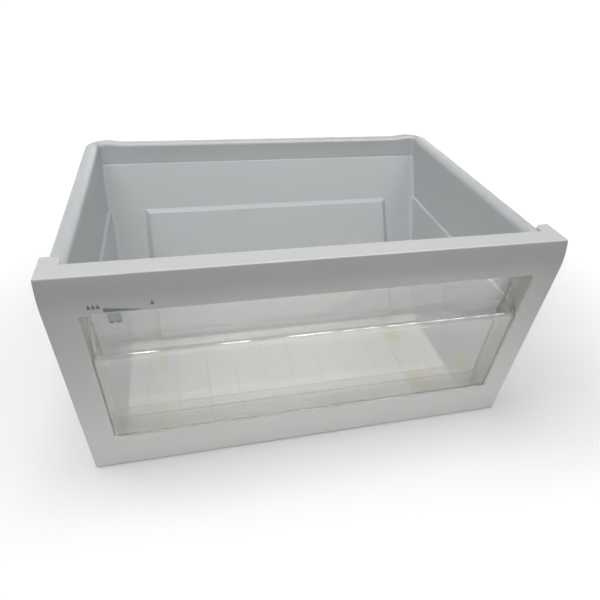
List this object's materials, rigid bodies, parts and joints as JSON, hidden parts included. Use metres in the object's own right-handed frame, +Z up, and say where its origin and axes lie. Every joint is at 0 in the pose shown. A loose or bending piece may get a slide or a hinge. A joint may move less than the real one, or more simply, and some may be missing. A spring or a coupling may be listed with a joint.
{
  "type": "fridge crisper drawer",
  "caption": "Fridge crisper drawer: drafted tub with a slanted back and rim flanges to slide on, framed clear front with a finger pull and a sliding humidity vent.",
  "frame": {"origin": "on the floor under the middle of the drawer's bounding box", "axes": "+Z up, the clear front faces -Y, +X to the right of someone facing the front"},
  "size_m": [0.46, 0.3317, 0.235],
  "materials": {
    "bin_plastic": "satin moulded, slightly milky",
    "frame_plastic": "fine moulded satin",
    "window_plastic": "clear, polished mould",
    "slider_plastic": "moulded satin"
  },
  "bodies": {
    "drawer": {"drawer_bin": "bin_plastic", "front_frame": "frame_plastic", "front_window": "window_plastic"},
    "slider": {"humidity_slider": "slider_plastic"}
  },
  "joints": [
    {"name": "humidity_slide", "type": "slide", "parent": "drawer", "child": "slider", "axis": [1, 0, 0], "range_m": [0, 0.027]}
  ]
}
